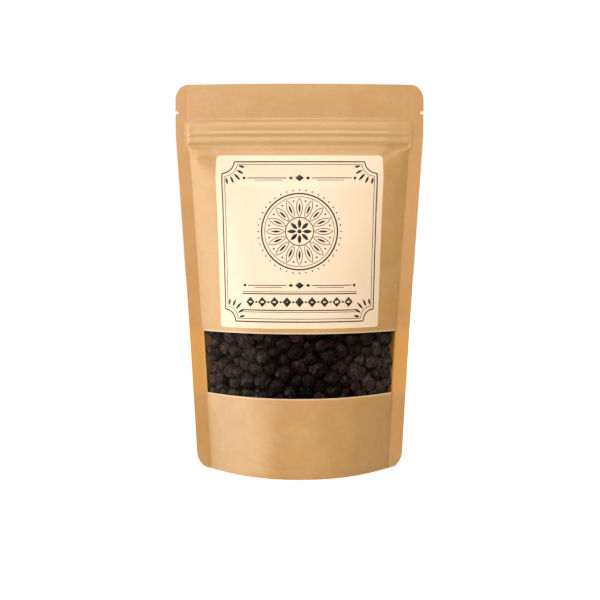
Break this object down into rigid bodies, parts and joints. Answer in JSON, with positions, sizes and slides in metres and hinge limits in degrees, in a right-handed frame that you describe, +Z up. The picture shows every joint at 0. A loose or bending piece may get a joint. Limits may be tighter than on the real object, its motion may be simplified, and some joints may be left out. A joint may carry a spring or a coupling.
{
  "type": "stand-up pouch of dried blackcurrants",
  "caption": "Kraft-paper stand-up pouch with a folded bottom gusset, zip closure, tear notches, clear window and paper label, filled with dried blackcurrants.",
  "frame": {"origin": "on the floor under the middle of the pouch's base", "axes": "+Z up, front with the label and the window faces -Y, +X to the right seen from the front"},
  "size_m": [0.1302, 0.0598, 0.2025],
  "materials": {
    "kraft_paper": "matt brown kraft paper laminate",
    "clear_film": "clear glossy film",
    "label_paper": "smooth cream paper",
    "zip_plastic": "translucent extruded plastic",
    "dried_fruit": "wrinkled, near-black, half glossy skin"
  },
  "bodies": {
    "root": {"front_panel": "kraft_paper", "back_panel": "kraft_paper", "bottom_gusset": "kraft_paper", "window_film": "clear_film", "label": "label_paper", "zip_groove": "zip_plastic", "zip_rib": "zip_plastic", "dried_blackcurrants": "dried_fruit"}
  },
  "joints": []
}
